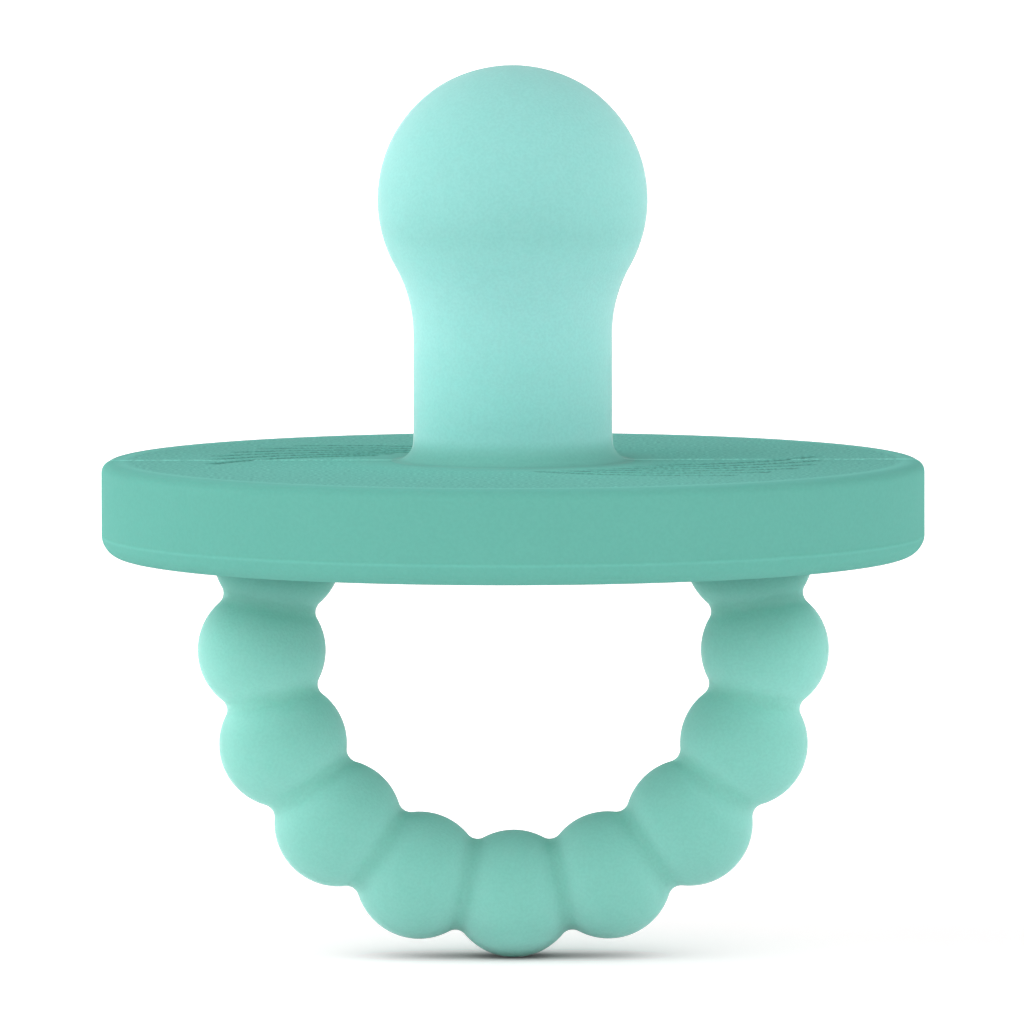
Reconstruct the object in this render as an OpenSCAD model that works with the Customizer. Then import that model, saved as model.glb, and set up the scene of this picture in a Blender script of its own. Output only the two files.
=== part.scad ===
// One-piece silicone pacifier: a hollow cherry teat, a round guard disc and a half-ring handle of beads.
// Millimetres. The origin is the centre of the guard disc, +Z points to the tip of the teat,
// and the handle's ring lies in the XZ plane.
// The moulding is divided where its shape changes and where the silicone bends: the teat bends in the
// straight part of its neck, and the handle bends in the necks between its roots and its first beads.

/* [Guard disc] */
// Diameter of the disc
shield_d = 45; // [43.5:0.5:50]
// Thickness of the disc
shield_t = 5.2; // [4.5:0.1:6]
// Rounding of the disc's edge on the mouth side
mouth_edge_r = 0.65; // [0.4:0.05:1.2]
// Rounding of the disc's edge on the handle side
back_edge_r = 1.1; // [0.4:0.05:1.2]

/* [Teat] */
// Length of the teat from the disc's face to its tip
teat_l = 21.65; // [20:0.05:26]
// Diameter of the round bulb
bulb_d = 14.7; // [14:0.1:15.4]
// Outer diameter of the neck
neck_d = 10.8; // [10:0.1:11.4]
// Hollow radius that leads from the bulb into the neck
shoulder_r = 7.6; // [6:0.1:8]
// Hollow radius where the neck meets the disc
base_r = 1.05; // [0.6:0.05:1.2]
// Wall thickness of the teat
wall = 1.2; // [1:0.05:1.5]

/* [Handle] */
// Diameter of one bead
bead_d = 6.95; // [6.7:0.05:7.2]
// Radius of the ring on which the beads' centres lie
ring_r = 13.8; // [13.6:0.1:14.4]
// Angle from one bead to the next, around the ring
pitch = 22.1; // [21.6:0.1:22.4]
// Diameter of the waist between two beads
waist_d = 5.05; // [4.8:0.05:5.3]

/* [Hidden] */
$fn = 96;

face_z = shield_t / 2;    // the disc's mouth face
back_z = -shield_t / 2;   // the disc's handle face
shield_r = shield_d / 2;

neck_r = neck_d / 2;
bulb_r = bulb_d / 2;
bulb_z = face_z + teat_l - bulb_r;
foot_z = face_z + base_r;             // where the neck becomes straight above the disc
shoulder_x = neck_r + shoulder_r;     // the centre of the shoulder's arc, which touches neck and bulb
shoulder_z = bulb_z - sqrt(pow(bulb_r + shoulder_r, 2) - pow(shoulder_x, 2));

beads = 9;                            // free beads; a root bead at each end is half sunk in the disc
bead_r = bead_d / 2;
waist_r = waist_d / 2;
last = (beads - 1) / 2;               // steps along the ring from the lowest bead to the first and last
root = last + 1;                      // steps from the lowest bead to the root beads
ring_z = back_z + ring_r * cos(root * pitch);  // puts the root beads' centres on the handle face
waist_reach = ring_r * cos(pitch / 2);         // from the ring's centre to the middle of a waist
collar_l = 1;                         // length of the straight part of a waist
bend_half = 1.2;                      // half the length of the handle's bending neck
over = 1;                             // how far a cut runs on past the surface it opens

teat_green = "#9CDDD5";
disc_green = "#6CB7A7";
bead_green = "#7CC5B5";

// A rectangle from the low corner to the high corner.
module box2(low, high) {
    translate(low) square(high - low);
}

module shield() {
    color(disc_green)
        rotate_extrude()
            difference() {
                union() {
                    box2([0, 0], [shield_r - mouth_edge_r, face_z]);
                    box2([0, back_z], [shield_r - back_edge_r, 0]);
                    box2([0, back_z + back_edge_r], [shield_r, face_z - mouth_edge_r]);
                    translate([shield_r - mouth_edge_r, face_z - mouth_edge_r]) circle(mouth_edge_r);
                    translate([shield_r - back_edge_r, back_z + back_edge_r]) circle(back_edge_r);
                }
                box2([-over, back_z - over], [neck_r, face_z + over]);
            }
}

// The teat's foot: it lines the disc's opening and spreads onto the disc's face.
module teat_base() {
    color(teat_green)
        rotate_extrude()
            difference() {
                union() {
                    box2([neck_r - wall, back_z], [neck_r, foot_z]);
                    box2([neck_r - wall, face_z], [neck_r + base_r, foot_z]);
                }
                translate([neck_r + base_r, foot_z]) circle(base_r);
            }
}

// The straight part of the neck, which bends.
module teat_neck() {
    color(teat_green)
        translate([0, 0, foot_z])
            difference() {
                cylinder(h = shoulder_z - foot_z, r = neck_r);
                translate([0, 0, -over])
                    cylinder(h = shoulder_z - foot_z + 2 * over, r = neck_r - wall);
            }
}

// Half the outline of the shoulder and the bulb, lying inset inside the outer surface.
module bulb_outline(inset) {
    share = (bulb_r - inset) / (bulb_r + shoulder_r);
    translate([0, bulb_z]) circle(bulb_r - inset);
    difference() {
        box2([0, shoulder_z], [share * shoulder_x, bulb_z - share * (bulb_z - shoulder_z)]);
        translate([shoulder_x, shoulder_z]) circle(shoulder_r + inset);
    }
}

module teat_bulb() {
    color(teat_green)
        rotate_extrude()
            intersection() {
                difference() {
                    bulb_outline(0);
                    bulb_outline(wall);
                }
                box2([0, shoulder_z], [bulb_d, bulb_z + bulb_d]);
            }
}

// Places children on the ring, step beads from the lowest one, at a distance from the ring's centre.
module on_ring(step, reach) {
    translate([0, 0, ring_z])
        rotate([0, -step * pitch, 0])
            translate([0, 0, -reach])
                children();
}

module ball(step) {
    on_ring(step, ring_r) rotate([0, 90, 0]) sphere(bead_r);
}

// The straight collar at the waist between two beads.
module collar(step) {
    on_ring(step, waist_reach)
        rotate([0, 90, 0])
            cylinder(h = collar_l, r = waist_r, center = true);
}

// The wedge of the ring between two steps.
module wedge(from, to) {
    far = 2 * ring_r;
    translate([0, 0, ring_z])
        rotate([90, 0, 0])
            linear_extrude(2 * bead_d, center = true)
                polygon([[0, 0], for (step = [from, to]) far * [sin(step * pitch), -cos(step * pitch)]]);
}

// A slab across the handle's bending neck, from one distance to another, measured from the middle of
// the waist towards the disc. side is -1 at the left and 1 at the right.
module slab(side, from, to) {
    on_ring(side * (last + 0.5), waist_reach)
        translate([side > 0 ? from : -to, -bead_d, -bead_d])
            cube([to - from, 2 * bead_d, 2 * bead_d]);
}

module bead(step) {
    color(bead_green)
        difference() {
            intersection() {
                union() {
                    ball(step);
                    for (half = [-0.5, 0.5]) collar(step + half);
                }
                wedge(step - 0.5, step + 0.5);
            }
            if (abs(step) == last) slab(sign(step), -bend_half, bead_d);
        }
}

// The root bead: the half of it that stands out of the disc, as far as the bending neck.
module handle_root(side) {
    color(bead_green)
        difference() {
            ball(side * root);
            translate([0, 0, back_z]) linear_extrude(bead_d) square(2 * shield_d, center = true);
            slab(side, -bead_d, bend_half);
        }
}

// The waist between the root and the first bead, which bends when the handle swings.
module handle_neck(side) {
    color(bead_green)
        intersection() {
            union() {
                ball(side * root);
                ball(side * last);
                collar(side * (last + 0.5));
            }
            slab(side, -bend_half, bend_half);
        }
}

shield();
teat_base();
teat_neck();
teat_bulb();
handle_root(-1);  // handle_root_left
handle_root(1);  // handle_root_right
handle_neck(-1);  // handle_neck_left
handle_neck(1);  // handle_neck_right
for (n = [1:beads])
    bead(n - root);
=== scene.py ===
"""A one-piece silicone pacifier, standing on its beaded handle on a white table.

The CAD frame gives every size. Three smooth silicone skins stand for its nodes: the hollow teat, the
guard disc and the strand of beads. Lengths are in millimetres until a mesh is made.
"""
import math

import bpy
import numpy as np
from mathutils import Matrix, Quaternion, Vector


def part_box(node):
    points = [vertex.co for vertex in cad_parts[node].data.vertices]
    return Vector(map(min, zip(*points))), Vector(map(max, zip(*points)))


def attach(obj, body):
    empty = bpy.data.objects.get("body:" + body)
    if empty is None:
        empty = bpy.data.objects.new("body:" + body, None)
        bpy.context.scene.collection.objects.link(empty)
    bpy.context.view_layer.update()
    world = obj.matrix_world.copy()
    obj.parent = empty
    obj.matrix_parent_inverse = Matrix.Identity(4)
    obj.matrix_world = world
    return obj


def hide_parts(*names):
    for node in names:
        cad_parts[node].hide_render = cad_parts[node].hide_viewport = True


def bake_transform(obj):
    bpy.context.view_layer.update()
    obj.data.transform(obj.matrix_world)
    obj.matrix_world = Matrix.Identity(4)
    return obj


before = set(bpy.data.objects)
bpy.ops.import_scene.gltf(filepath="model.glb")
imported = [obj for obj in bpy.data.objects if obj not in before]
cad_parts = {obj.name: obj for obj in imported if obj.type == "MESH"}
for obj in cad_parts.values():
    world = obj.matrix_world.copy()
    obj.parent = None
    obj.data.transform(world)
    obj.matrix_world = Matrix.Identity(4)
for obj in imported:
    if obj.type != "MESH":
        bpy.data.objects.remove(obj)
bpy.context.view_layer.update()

MM = 0.001
HAIR = 0.01                              # a clearance too small to see, in millimetres

# Sizes read from the CAD frame.
disc_low, disc_high = (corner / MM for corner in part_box("shield"))
neck_low, neck_high = (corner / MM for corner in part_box("teat_neck"))
bulb_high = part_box("teat_bulb")[1] / MM
bead_low, bead_high = (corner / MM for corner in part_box("bead_5"))

DISC_R = disc_high.x
FACE_Z, BACK_Z = disc_high.z, disc_low.z
NECK_R = neck_high.x
FOOT_Z, SHOULDER_Z = neck_low.z, neck_high.z
TIP_Z = bulb_high.z
BEAD_R = bead_high.y
FLOOR_Z = bead_low.z

# Rounding radii and the wall, as in the CAD model.
MOUTH_EDGE_R = 0.65
BACK_EDGE_R = 1.1
BASE_R = FOOT_Z - FACE_Z
BULB_R = 7.35
SHOULDER_R = 7.6
WALL = 1.2

# The strand: beads on a ring in the XZ plane, counted in steps from the lowest one.
RING_R = 13.8
PITCH = math.radians(22.1)
LAST = 4
ROOT = LAST + 1
RING_Z = FLOOR_Z + BEAD_R + RING_R
HALF_CHORD = RING_R * math.sin(PITCH / 2)
WAIST_REACH = RING_R * math.cos(PITCH / 2)
WAIST_R = 2.525
WAIST_FILLET = (HALF_CHORD**2 + WAIST_R**2 - BEAD_R**2) / (2 * (BEAD_R - WAIST_R))
ROOT_FILLET = 0.4

# How the skins meet: the teat starts inside the disc and laps under its face, and the strand ends in it.
TEAT_SUNK, TEAT_LAP, STRAND_SUNK = 0.3, 0.5, 0.25
BORE_LIP = 0.3                           # rounding of the disc's opening on the handle side
FAR_OFF = 9.0                            # stands for no surface near, in the distance functions

# Moulding marks.
RIDGE_H, RIDGE_HALF = 0.05, 0.13         # the parting line in the XZ plane
RIM_LINE_H, RIM_LINE_HALF = 0.035, 0.12  # the parting line round the rim
TIP_FADE = 4.0                           # the parting line dies out this near the tip
GROOVE_DEPTH, GROOVE_HALF = 0.3, 0.55    # the plain swept grip grooves on the mouth face
GROOVE_IN, GROOVE_OUT = 9.0, 16.2
GROOVES, GROOVE_START, GROOVE_STEP, GROOVE_SWEEP = 6, -78, 10.5, 32

# Colours. The silicone looks paler where it is thin. Some stops and marks below are painted light and
# shade.
DISC_GREEN = np.array([0.112, 0.355, 0.297])
# The disc's face is painted lighter than its wall, to make up for the grazing light on it.
PAINTED_LIGHT_FACE_GREEN = np.array([0.17, 0.525, 0.45])
FOOT_GREEN = np.array([0.155, 0.43, 0.37])
TEAT_GREEN = np.array([0.292, 0.655, 0.605])
BEAD_GREEN = np.array([0.212, 0.50, 0.438])
# Painted shade in the grip grooves, and painted highlights on the parting lines.
GROOVE_PAINTED_SHADE, LINE_PAINTED_HIGHLIGHT, RIM_PAINTED_HIGHLIGHT = 0.72, 0.18, 0.08   # darker in a groove, lighter on a parting line
GROOVE_FILL, LINE_SPREAD, RIM_SPREAD = 1.6, 1.5, 1.3     # how much wider than the relief each one reaches
# Painted light in the waists between beads, against the shade in their creases.
WAIST_PAINTED_LIGHT, WAIST_SPREAD = 0.16, 1.0

# Where colours change, in millimetres. Each teat and strand stop is a height and a colour.
# On the teat: painted shade low on the neck by the disc and over the bulb, and painted light at the
# shoulder where the bulb shades it.
TEAT_STOPS = [
    (FACE_Z, FOOT_GREEN), (2.9, FOOT_GREEN), (4.1, TEAT_GREEN * 0.94), (7.0, TEAT_GREEN),
    (12.6, TEAT_GREEN * 1.12), (15.5, TEAT_GREEN * 0.87), (TIP_Z, TEAT_GREEN * 0.89),
]
# On the strand: painted light at the bottom of the lowest bead where it rests on the table, painted shade
# on the lower beads, and painted shade under the disc where the roots take the disc's colour.
STRAND_STOPS = [
    (FLOOR_Z, BEAD_GREEN * 1.15), (FLOOR_Z + 1.8, BEAD_GREEN * 0.88),
    (-7.0, BEAD_GREEN), (BACK_Z, DISC_GREEN * 0.86),
]
THIN_FROM, THIN_TO = 2.9, 4.5            # the teat grows thin between these heights
FOOT_NEAR, FOOT_AWAY = 0.3, 3.5          # the disc's face takes its painted lighter colour this far from the foot
EDGE_IN, EDGE_OUT = 1.0, 0.02            # and gives it up this far inside its rim
WALL_GRAIN = 0.1                         # strength of the grain on the disc's wall, where a face has 1

# The table's white, the grey of a painted shadow where something rests on it, and its painted glow by
# distance in metres.
TABLE_WHITE, PAINTED_SHADOW_GREY = (1.0, 0.895, 0.91, 1), (0.32, 0.282, 0.288, 1)
GLOW_BY_DISTANCE = {"From Min": 0.03, "From Max": 0.12, "To Min": 0.365, "To Max": 0.5}
# The painted shadow starts this far under something, in metres. It is full where less than SHUT of the sky
# is clear, and FADE is how fast it dies away. The sky is taken a little from the front, as the light is.
CLOSE, SHUT, FADE = 0.012, 0.18, 2.2
FRONT_LEAN = math.radians(7)
ROOM_BY_HEIGHT = {"From Min": 0.15, "From Max": 0.85, "To Min": 1.15, "To Max": 0.12}


def arc(x, z, r, start, end, steps):
    """Points of an arc round (x, z), with angles in degrees."""
    a = np.radians(np.linspace(start, end, steps + 1))
    return np.column_stack([x + r * np.cos(a), z + r * np.sin(a)])


def line(a, b, steps):
    """Points of a straight stretch, without its two ends."""
    t = np.linspace(0, 1, steps + 1)[1:-1, None]
    return np.asarray(a) + t * (np.asarray(b) - np.asarray(a))


def around(count, fine, extra=()):
    """Angles round an axis: even ones, close ones beside the parting plane, and any extra ones."""
    beside = np.concatenate([-np.asarray(fine)[::-1], [0.0], fine])
    every = np.concatenate([np.linspace(0, 360, count, endpoint=False), beside, beside + 180, extra])
    every = np.unique(np.round(every % 360, 4))
    keep = np.append(np.diff(every) > 0.02, True)
    return np.radians(every[keep])


def make_mesh(name, points, faces):
    """A smooth object from points in millimetres."""
    mesh = bpy.data.meshes.new(name)
    mesh.from_pydata((np.asarray(points) * MM).tolist(), [], faces)
    mesh.validate()
    mesh.shade_smooth()
    piece = bpy.data.objects.new(name, mesh)
    bpy.context.scene.collection.objects.link(piece)
    return piece


def bridge(rows, closed):
    """Faces between rings of vertex numbers. A ring of one vertex is a pole."""
    faces = []
    pairs = list(zip(rows, rows[1:]))
    if closed:
        pairs.append((rows[-1], rows[0]))
    for low, high in pairs:
        count = max(len(low), len(high))
        if len(low) == len(high) == 1:
            continue
        for i in range(count):
            j = (i + 1) % count
            if len(low) == 1:
                faces.append((low[0], high[j], high[i]))
            elif len(high) == 1:
                faces.append((low[i], low[j], high[0]))
            else:
                faces.append((low[i], low[j], high[j], high[i]))
    return faces


def outward(profile, closed):
    """Unit normals of a profile that runs anticlockwise in the (r, z) half-plane."""
    if closed:
        step = np.roll(profile, -1, 0) - np.roll(profile, 1, 0)
    else:
        step = np.gradient(profile, axis=0)
    normal = np.column_stack([step[:, 1], -step[:, 0]])
    return normal / np.maximum(np.linalg.norm(normal, axis=1), 1e-9)[:, None]


def ridge(distance, height, half):
    """A low rounded ridge, by distance from its crest."""
    return height * np.cos(np.clip(distance / half, 0, 1) * math.pi / 2) ** 2


def lathe(name, profile, angles, relief):
    """Turns a closed (r, z) profile round Z. relief gives how far each point stands out of the surface."""
    profile = np.asarray(profile)
    normals = outward(profile, True)
    points, rows = [], []
    for (r, z), (nr, nz) in zip(profile, normals):
        on_axis = r < 1e-6
        a = np.zeros(1) if on_axis else angles
        x, y = r * np.cos(a), r * np.sin(a)
        out = relief(x, y, np.full_like(x, z), nr, nz)
        side = 0.0 if on_axis else nr
        ring = np.column_stack([x + out * side * np.cos(a), y + out * side * np.sin(a), z + out * nz])
        rows.append(list(range(len(points), len(points) + len(ring))))
        points.extend(ring)
    return make_mesh(name, points, bridge(rows, True))


def teat():
    """The hollow teat: foot, neck, shoulder and bulb, with the mould's parting line up both sides."""
    bulb_z = TIP_Z - BULB_R
    shoulder_x = NECK_R + SHOULDER_R
    lean = math.degrees(math.atan2(bulb_z - SHOULDER_Z, shoulder_x))
    mouth = FACE_Z - TEAT_SUNK
    foot_r = NECK_R + BASE_R
    lapped_r = foot_r + TEAT_LAP

    def side(inset):
        return np.vstack([
            arc(shoulder_x, SHOULDER_Z, SHOULDER_R + inset, 180, 180 - lean, 24)[:-1],
            arc(0, bulb_z, BULB_R - inset, -lean, 90, 72),
        ])

    outer, inner = side(0), side(WALL)[::-1]
    outer[-1, 0] = inner[0, 0] = 0
    bore = NECK_R - WALL
    profile = np.vstack([
        [[bore, mouth], [lapped_r, mouth], [lapped_r, FACE_Z - HAIR]],
        line([lapped_r, FACE_Z - HAIR], [foot_r, FACE_Z + HAIR], 3),
        arc(foot_r, FOOT_Z, BASE_R - HAIR, 270, 180, 18),
        line([NECK_R, FOOT_Z], [NECK_R, SHOULDER_Z], 36),
        outer,
        inner,
        line([bore, SHOULDER_Z], [bore, mouth], 36),
    ])

    def relief(x, y, z, nr, nz):
        r = np.hypot(x, y)
        if z[0] > SHOULDER_Z:
            outside = np.hypot(r, z - bulb_z) > BULB_R - WALL / 2
        else:
            outside = r > bore + WALL / 2
        fade = np.clip(np.abs(x) / TIP_FADE, 0, 1) ** 2     # the line dies out at the tip
        return ridge(np.abs(y), RIDGE_H, RIDGE_HALF) * fade * outside * (z > FACE_Z)

    angles = around(144, [0.35, 0.7, 1.0, 1.35, 1.8])
    return lathe("teat_skin", profile, angles, relief)


def groove_distance(x, y):
    """Distance to the nearest plain grip groove: swept lines in two opposite quadrants."""
    r, a = np.hypot(x, y), np.degrees(np.arctan2(y, x))
    beyond = np.maximum(np.maximum(GROOVE_IN - r, r - GROOVE_OUT), 0)
    swept = GROOVE_SWEEP * (r - GROOVE_IN) / (GROOVE_OUT - GROOVE_IN)
    lean = math.atan(math.radians(GROOVE_SWEEP) * (GROOVE_IN + GROOVE_OUT) / 2 / (GROOVE_OUT - GROOVE_IN))
    best = np.full_like(r, FAR_OFF)
    for turn in (0, 180):
        for n in range(GROOVES):
            off = (a - swept - GROOVE_START - GROOVE_STEP * n - turn + 180) % 360 - 180
            best = np.minimum(best, np.hypot(np.radians(off) * r * math.cos(lean), beyond))
    return best


def disc():
    """The guard disc, with the parting lines of its mould and shallow grip grooves."""
    edge, back = DISC_R - MOUTH_EDGE_R, DISC_R - BACK_EDGE_R
    hole = NECK_R - WALL
    wall_low, wall_high = BACK_Z + BACK_EDGE_R, FACE_Z - MOUTH_EDGE_R
    profile = np.vstack([
        arc(hole + BORE_LIP, BACK_Z + BORE_LIP, BORE_LIP, 180, 270, 5),
        line([hole + BORE_LIP, BACK_Z], [back, BACK_Z], 12),
        arc(back, wall_low, BACK_EDGE_R, 270, 360, 14)[:-1],
        [[DISC_R, wall_low + d] for d in np.linspace(0, 2 * RIM_LINE_HALF, 7)],
        line([DISC_R, wall_low + 2 * RIM_LINE_HALF], [DISC_R, wall_high], 10),
        arc(edge, wall_high, MOUTH_EDGE_R, 0, 90, 10),
        line([edge, FACE_Z], [GROOVE_OUT + 0.4, FACE_Z], 12),
        line([GROOVE_OUT + 0.4, FACE_Z], [GROOVE_IN - 0.4, FACE_Z], 76),
        line([GROOVE_IN - 0.4, FACE_Z], [hole, FACE_Z], 10),
        [[hole, FACE_Z - 0.1]],
        line([hole, FACE_Z - 0.1], [hole, BACK_Z + BORE_LIP], 10),
    ])

    def relief(x, y, z, nr, nz):
        out = ridge(np.abs(y), RIDGE_H, RIDGE_HALF) * (np.hypot(x, y) > hole + 0.05)
        if nr > 0.7:
            out = np.maximum(out, ridge(np.abs(z - wall_low), RIM_LINE_H, RIM_LINE_HALF))
        if nz > 0.9:
            cut = np.clip(1 - groove_distance(x, y) / GROOVE_HALF, 0, 1)
            out = out - GROOVE_DEPTH * cut * cut * (3 - 2 * cut)
        return out

    start, end = GROOVE_START - 2, GROOVE_START + GROOVE_STEP * (GROOVES - 1) + GROOVE_SWEEP + 2
    close = np.linspace(start, end, 150)
    angles = around(180, [0.1, 0.2, 0.3, 0.45, 0.65, 0.9, 1.2], np.concatenate([close, close + 180]))
    return lathe("disc_skin", profile, angles, relief)


def on_ring(step):
    """Centres of beads, by steps along the ring from the lowest one."""
    around_ring = np.stack([np.sin(step * PITCH), 0 * step, -np.cos(step * PITCH)], -1)
    return np.array([0, 0, RING_Z]) + RING_R * around_ring


def from_waist(p):
    """The two nearest bead centres, and how far points lie along and out from the waist between them."""
    phi = np.arctan2(p[..., 0], RING_Z - p[..., 2])
    chord = np.clip(np.floor(phi / PITCH), -ROOT, ROOT - 1)
    a, b = on_ring(chord), on_ring(chord + 1)
    axis = (b - a) / (2 * HALF_CHORD)
    off = p - (a + b) / 2
    u = (off * axis).sum(-1)
    return a, b, u, np.linalg.norm(off - u[..., None] * axis, axis=-1)


def strand_distance(p):
    """Signed distance from points to the strand: balls on the ring, with a hollow fillet at each waist."""
    a, b, u, v = from_waist(p)
    ball = np.minimum(np.linalg.norm(p - a, axis=-1), np.linalg.norm(p - b, axis=-1)) - BEAD_R
    depth = WAIST_R + WAIST_FILLET - v
    in_fillet = (depth > 0) & (np.abs(u) * (WAIST_R + WAIST_FILLET) < depth * HALF_CHORD)
    fillet = WAIST_FILLET - np.hypot(u, depth)
    return np.where(in_fillet, fillet, ball)


def root_distance(p, side):
    """Signed distance to the root's flare, where it spreads onto the disc."""
    middle = side * RING_R * math.sin(ROOT * PITCH)
    reach = math.sqrt(BEAD_R**2 + 2 * BEAD_R * ROOT_FILLET)
    across = np.hypot(p[..., 0] - middle, p[..., 1])
    below = BACK_Z - p[..., 2]
    out, down = reach - across, ROOT_FILLET - below
    in_fillet = (out > 0) & (down > 0) & (out * ROOT_FILLET < (down + 1e-9) * reach)
    return np.where(in_fillet, ROOT_FILLET - np.hypot(out, down), FAR_OFF)


def strand():
    """The strand of beads as one skin: sections along the ring, each grown outwards to the surface."""
    sections = []                              # each is a middle point and an outward direction
    per_bead = 44
    for step in range(-LAST, LAST + 1):
        for u in np.linspace(-0.5, 0.5, per_bead, endpoint=False):
            turn = u + 0.06 * math.sin(2 * math.pi * u)
            phi = (step + turn) * PITCH
            e = np.array([math.sin(phi), 0, -math.cos(phi)])
            sections.append((np.array([0, 0, RING_Z]) + RING_R * math.cos(turn * PITCH) * e, e))
    phi_waist = (LAST + 0.5) * PITCH
    e_waist = np.array([math.sin(phi_waist), 0, -math.cos(phi_waist)])
    waist = np.array([0, 0, RING_Z]) + WAIST_REACH * e_waist
    root = np.array([RING_R * math.sin(ROOT * PITCH), 0, BACK_Z])
    right = []
    for t in 1 - (1 - np.linspace(0, 1, 40)) ** 1.4:
        phi = phi_waist + t * (math.pi / 2 - phi_waist)
        right.append((waist + t * (root - waist), np.array([math.sin(phi), 0, -math.cos(phi)])))
    flip = np.array([-1, 1, 1])
    left = [(o * flip, e * flip) for o, e in right[:0:-1]]
    sections = left + sections + right
    angles = around(112, [0.8, 1.6, 2.4, 3.4])
    middle = np.array([o for o, e in sections])[:, None, :]
    e = np.array([e for o, e in sections])[:, None, :]
    ray = np.cos(angles)[None, :, None] * e + np.sin(angles)[None, :, None] * np.array([0, 1, 0])
    low = np.full(ray.shape[:2], 0.3)
    high = np.full(ray.shape[:2], 4.4)
    for _ in range(40):
        t = (low + high) / 2
        p = middle + t[..., None] * ray
        d = strand_distance(p)
        for side in (-1, 1):
            d = np.minimum(d, np.where(side * p[..., 0] > 0, root_distance(p, side), FAR_OFF))
        inside = d < 0
        low, high = np.where(inside, t, low), np.where(inside, high, t)
    y = t * np.sin(angles)[None, :]
    t = t + ridge(np.abs(y), RIDGE_H, RIDGE_HALF)
    points = middle + t[..., None] * ray
    ends = [points[row] + np.array([0, 0, STRAND_SUNK]) for row in (0, -1)]
    rings = [ends[0], *points, ends[1]]
    caps = [ends[0].mean(0), ends[1].mean(0)]
    flat, rows = [], []
    for ring in [[caps[0]], *rings, [caps[1]]]:
        rows.append(list(range(len(flat), len(flat) + len(ring))))
        flat.extend(ring)
    return make_mesh("bead_strand", flat, bridge(rows, False))


def silicone(name, scatter, share, gloss, speckle, pit, cloudy):
    """Matte translucent silicone: soft scattering, faint mottling and a fine grain left by the mould.

    share is how much of the light is scattered: one number, or a pair for thick and thin silicone. speckle
    is how much darker the pits of the grain are, pit their size and cloudy the darkest mottling. The tint,
    thin and grain values come from the mesh.
    """
    material = bpy.data.materials.new(name)
    material.use_nodes = True
    tree = material.node_tree
    shader = tree.nodes["Principled BSDF"]
    link = tree.links.new

    def node(kind, **values):
        made = tree.nodes.new(kind)
        for key, value in values.items():
            if hasattr(made, key):
                setattr(made, key, value)
            else:
                made.inputs[key.replace("_", " ")].default_value = value
        return made

    def painted(key):
        return node("ShaderNodeAttribute", attribute_name=key)

    place = node("ShaderNodeTexCoord")
    cloud = node("ShaderNodeTexNoise", Scale=180.0, Detail=3.0, Roughness=0.5)
    mottle = node("ShaderNodeMix", data_type="RGBA", blend_type="MULTIPLY")
    mottle.inputs["B"].default_value = (cloudy, cloudy, cloudy, 1)
    link(place.outputs["Object"], cloud.inputs["Vector"])
    link(cloud.outputs["Fac"], mottle.inputs["Factor"])
    link(painted("tint").outputs["Color"], mottle.inputs["A"])

    fine = node("ShaderNodeTexNoise", Scale=1 / (pit * MM), Detail=1.0, Roughness=0.5)
    pits = node("ShaderNodeMapRange", From_Min=0.35, From_Max=0.65, To_Min=speckle, To_Max=0.0)
    grainy = node("ShaderNodeMath", operation="MULTIPLY")
    dark = node("ShaderNodeMix", data_type="RGBA", blend_type="MULTIPLY")
    dark.inputs["B"].default_value = (0, 0, 0, 1)
    link(place.outputs["Object"], fine.inputs["Vector"])
    link(fine.outputs["Fac"], pits.inputs["Value"])
    link(pits.outputs["Result"], grainy.inputs[0])
    link(painted("grain").outputs["Fac"], grainy.inputs[1])
    link(grainy.outputs["Value"], dark.inputs["Factor"])
    link(mottle.outputs["Result"], dark.inputs["A"])
    link(dark.outputs["Result"], shader.inputs["Base Color"])

    rough = node("ShaderNodeMapRange", To_Min=0.55, To_Max=0.75)
    bump = node("ShaderNodeBump", Strength=0.5, Distance=0.00004)
    link(fine.outputs["Fac"], rough.inputs["Value"])
    link(rough.outputs["Result"], shader.inputs["Roughness"])
    link(fine.outputs["Fac"], bump.inputs["Height"])
    link(bump.outputs["Normal"], shader.inputs["Normal"])
    shader.inputs["IOR"].default_value = 1.41
    shader.inputs["Specular IOR Level"].default_value = gloss

    if isinstance(share, tuple):
        deep = node("ShaderNodeMapRange", To_Min=share[0], To_Max=share[1])
        link(painted("thin").outputs["Fac"], deep.inputs["Value"])
        link(deep.outputs["Result"], shader.inputs["Subsurface Weight"])
    else:
        shader.inputs["Subsurface Weight"].default_value = share
    shader.inputs["Subsurface Radius"].default_value = scatter
    shader.inputs["Subsurface Scale"].default_value = MM
    return material


def points_of(piece):
    """A skin's vertices in millimetres."""
    flat = np.empty(3 * len(piece.data.vertices), np.float32)
    piece.data.vertices.foreach_get("co", flat)
    return flat.reshape(-1, 3) / MM


def smooth(value, low, high):
    t = np.clip((value - low) / (high - low), 0, 1)
    return t * t * (3 - 2 * t)


def blend_colours(stops, value):
    """A colour for each value, eased between (value, colour) stops."""
    colours = np.tile(stops[0][1], (len(value), 1))
    for (low, _), (high, colour) in zip(stops, stops[1:]):
        t = smooth(value, low, high)[:, None]
        colours = colours + t * (colour - colours)
    return colours


def paint(piece, tint, **values):
    """Stores each vertex's colour and its other values: thinness, or the strength of the grain."""
    mesh = piece.data
    mesh.attributes.new("tint", "FLOAT_COLOR", "POINT")
    mesh.attributes["tint"].data.foreach_set("color", np.column_stack([tint, np.ones(len(tint))]).ravel())
    for key, value in values.items():
        mesh.attributes.new(key, "FLOAT", "POINT")
        mesh.attributes[key].data.foreach_set("value", np.broadcast_to(value, len(tint)).ravel())


def paint_teat(piece):
    z = points_of(piece)[:, 2]
    # The heights give the teat its painted shade and light as well as its colours.
    paint(piece, blend_colours(TEAT_STOPS, z), thin=smooth(z, THIN_FROM, THIN_TO), grain=1.0)


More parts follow.
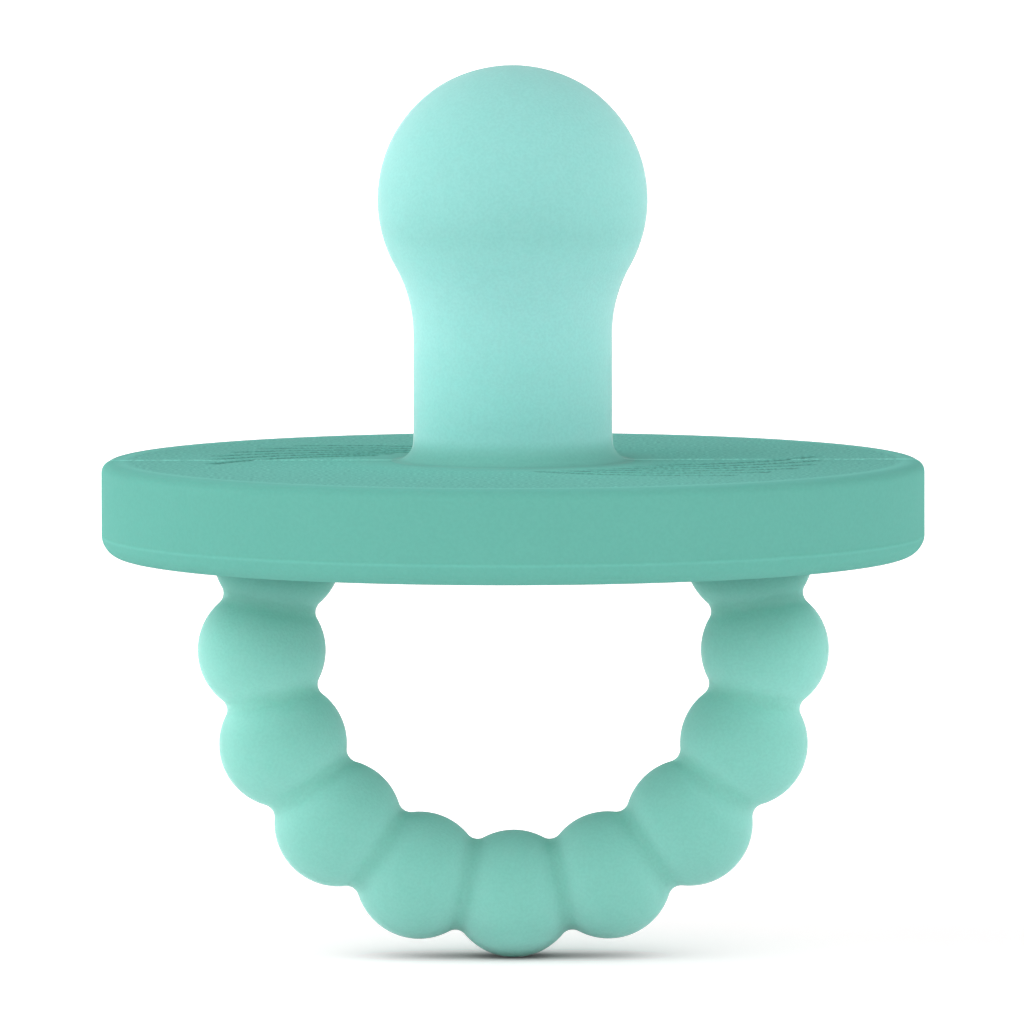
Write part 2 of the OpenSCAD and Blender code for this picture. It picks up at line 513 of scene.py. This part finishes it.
def paint_disc(piece):
    x, y, z = points_of(piece).T
    r = np.hypot(x, y)
    foot_r = NECK_R + BASE_R
    flat = (np.abs(z) > FACE_Z - GROOVE_DEPTH - HAIR) & (r < DISC_R - BACK_EDGE_R - 2 * HAIR)
    up = (z > 0) * (1 - smooth(r, DISC_R - EDGE_IN, DISC_R - EDGE_OUT))
    away = smooth(r, foot_r + FOOT_NEAR, foot_r + FOOT_AWAY)
    # The face away from the foot is painted lighter, to make up for its grazing light.
    face = FOOT_GREEN + away[:, None] * (PAINTED_LIGHT_FACE_GREEN - FOOT_GREEN)
    tint = DISC_GREEN + up[:, None] * (face - DISC_GREEN)
    # Painted shade in the grooves, and painted highlights along the parting lines on the face and round
    # the rim.
    groove = np.clip(GROOVE_FILL * (1 - groove_distance(x, y) / GROOVE_HALF), 0, 1) * up
    crest = ridge(np.abs(y), LINE_PAINTED_HIGHLIGHT, RIDGE_HALF * LINE_SPREAD)
    rim = ridge(np.abs(z - BACK_Z - BACK_EDGE_R), RIM_PAINTED_HIGHLIGHT, RIM_LINE_HALF * RIM_SPREAD)
    on_wall = r > DISC_R - 0.3
    tint = tint * (1 - GROOVE_PAINTED_SHADE * groove + np.maximum(crest, rim * on_wall))[:, None]
    paint(piece, tint, grain=np.where(flat, WALL_GRAIN + (1 - WALL_GRAIN) * away, WALL_GRAIN))


def paint_strand(piece):
    points = points_of(piece)
    _, _, u, _ = from_waist(points)
    # The waists are painted lighter, against the shade in the creases between beads.
    crease_light = 1 + WAIST_PAINTED_LIGHT * np.exp(-(u / WAIST_SPREAD) ** 2)
    # The colours by height carry painted light and shade as well as the disc's colour at the roots.
    paint(piece, blend_colours(STRAND_STOPS, points[:, 2]) * crease_light[:, None], grain=1.0)


def dress(piece, material, slot, *nodes):
    """Gives a skin its material and makes it stand for its CAD nodes."""
    piece.data.materials.append(material)
    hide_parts(*nodes)


def soft_sun(name, azimuth, elevation, power):
    """A wide, far softbox. Azimuth 0 is the object's right, -90 its front."""
    light = bpy.data.lights.new(name, "SUN")
    light.energy = power
    light.angle = math.radians(90)
    lamp = bpy.data.objects.new(name, light)
    a, e = math.radians(azimuth), math.radians(elevation)
    towards = Vector((math.cos(a) * math.cos(e), math.sin(a) * math.cos(e), math.sin(e)))
    lamp.rotation_euler = towards.to_track_quat("Z", "Y").to_euler()
    bpy.context.scene.collection.objects.link(lamp)


def set_inputs(node, values):
    for key, value in values.items():
        node.inputs[key].default_value = value


def table_with_painted_shadow():
    """Matt white with a painted glow, and a painted shadow where something is close above it: greyer and
    duller there.
    """
    material = bpy.data.materials.new("table_with_painted_shadow")
    material.use_nodes = True
    nodes, link = material.node_tree.nodes, material.node_tree.links.new
    surface = nodes["Principled BSDF"]
    surface.inputs["Roughness"].default_value = 0.9
    surface.inputs["Specular IOR Level"].default_value = 0.0
    surface.inputs["Emission Color"].default_value = (1, 1, 1, 1)

    # Painted shadow: the table is greyer, and glows less, where the sky above it is hidden.
    above = nodes.new("ShaderNodeAmbientOcclusion")
    above.inputs["Distance"].default_value = CLOSE
    lit_from = nodes.new("ShaderNodeCombineXYZ")
    lit_from.inputs["Y"].default_value = -math.sin(FRONT_LEAN)
    lit_from.inputs["Z"].default_value = math.cos(FRONT_LEAN)
    covered = nodes.new("ShaderNodeMapRange")
    set_inputs(covered, {"From Min": SHUT, "From Max": 1.0, "To Min": 1.0, "To Max": 0.0})
    painted_shadow = nodes.new("ShaderNodeMath")
    painted_shadow.operation = "POWER"
    painted_shadow.inputs[1].default_value = FADE
    shade = nodes.new("ShaderNodeMix")
    shade.data_type = "RGBA"
    shade.inputs["A"].default_value, shade.inputs["B"].default_value = TABLE_WHITE, PAINTED_SHADOW_GREY
    link(lit_from.outputs["Vector"], above.inputs["Normal"])
    link(above.outputs["AO"], covered.inputs["Value"])
    link(covered.outputs["Result"], painted_shadow.inputs[0])
    link(painted_shadow.outputs["Value"], shade.inputs["Factor"])
    link(shade.outputs["Result"], surface.inputs["Base Color"])

    place = nodes.new("ShaderNodeTexCoord")
    far = nodes.new("ShaderNodeVectorMath")
    far.operation = "LENGTH"
    level = nodes.new("ShaderNodeMapRange")
    set_inputs(level, GLOW_BY_DISTANCE)
    glow = nodes.new("ShaderNodeMix")
    glow.inputs["B"].default_value = 0.0
    link(place.outputs["Object"], far.inputs[0])
    link(far.outputs["Value"], level.inputs["Value"])
    link(level.outputs["Result"], glow.inputs["A"])
    link(painted_shadow.outputs["Value"], glow.inputs["Factor"])
    link(glow.outputs["Result"], surface.inputs["Emission Strength"])
    return material


def studio():
    """A white table in a white room, darker overhead, with wide soft light from the front and left."""
    scene = bpy.context.scene
    scene.view_settings.view_transform = "Standard"

    side = 4.0
    floor = bpy.data.meshes.new("table_top")
    corners = [(-side, -side), (side, -side), (side, side), (-side, side)]
    floor.from_pydata([(x, y, 0) for x, y in corners], [], [(0, 1, 2, 3)])
    table = bpy.data.objects.new("table_top", floor)
    table.location.z = FLOOR_Z * MM
    scene.collection.objects.link(table)
    floor.materials.append(table_with_painted_shadow())

    world = bpy.data.worlds.new("room")
    scene.world = world
    world.use_nodes = True
    tree = world.node_tree
    place = tree.nodes.new("ShaderNodeTexCoord")
    height = tree.nodes.new("ShaderNodeSeparateXYZ")
    shade = tree.nodes.new("ShaderNodeMapRange")
    shade.interpolation_type = "SMOOTHSTEP"
    set_inputs(shade, ROOM_BY_HEIGHT)
    tree.links.new(place.outputs["Generated"], height.inputs["Vector"])
    tree.links.new(height.outputs["Z"], shade.inputs["Value"])
    tree.nodes["Background"].inputs["Color"].default_value = (1, 1, 1, 1)
    tree.links.new(shade.outputs["Result"], tree.nodes["Background"].inputs["Strength"])

    soft_sun("left_softbox", 180, 20, 1.5)
    soft_sun("front_left_softbox", -135, 15, 1.28)
    soft_sun("front_right_softbox", -45, 15, 1.7)


def camera():
    """The photograph's view: from the front, a few degrees above level, through a long lens."""
    elevation, roll, distance, across = math.radians(4.25), math.radians(0.1), 0.9, 0.0561
    aim = Vector((-0.06, 0, -0.25)) * MM
    data = bpy.data.cameras.new("camera")
    data.sensor_width = 36.0
    data.lens = data.sensor_width * distance / across
    data.clip_start, data.clip_end = 0.05, 20.0
    view = bpy.data.objects.new("camera", data)
    back = Vector((0, -math.cos(elevation), math.sin(elevation)))
    view.location = aim + back * distance
    view.rotation_euler = ((-back).to_track_quat("-Z", "Y") @ Quaternion((0, 0, 1), -roll)).to_euler()
    bpy.context.scene.collection.objects.link(view)
    bpy.context.scene.camera = view


camera()
studio()

teat_skin = teat()
disc_skin = disc()
bead_strand = strand()

paint_teat(teat_skin)
paint_disc(disc_skin)
paint_strand(bead_strand)
teat_silicone = silicone("teat_silicone", (4.0, 5.0, 4.8), (0.3, 1.0), 0.02, 0.05, 0.15, 0.95)
disc_silicone = silicone("disc_silicone", (0.6, 1.0, 0.9), 0.35, 0.0, 0.28, 0.2, 0.965)
bead_silicone = silicone("bead_silicone", (3.5, 4.5, 4.2), 1.0, 0.08, 0.05, 0.15, 0.95)

dress(teat_skin, teat_silicone, "teat_silicone", "teat_base", "teat_neck", "teat_bulb")
dress(disc_skin, disc_silicone, "guard_silicone", "shield")
dress(
    bead_strand, bead_silicone, "handle_silicone",
    "handle_root_left", "handle_root_right", "handle_neck_left", "handle_neck_right",
    *[f"bead_{n}" for n in range(1, 2 * ROOT)],
)

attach(disc_skin, "guard")
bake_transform(teat_skin)
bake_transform(bead_strand)
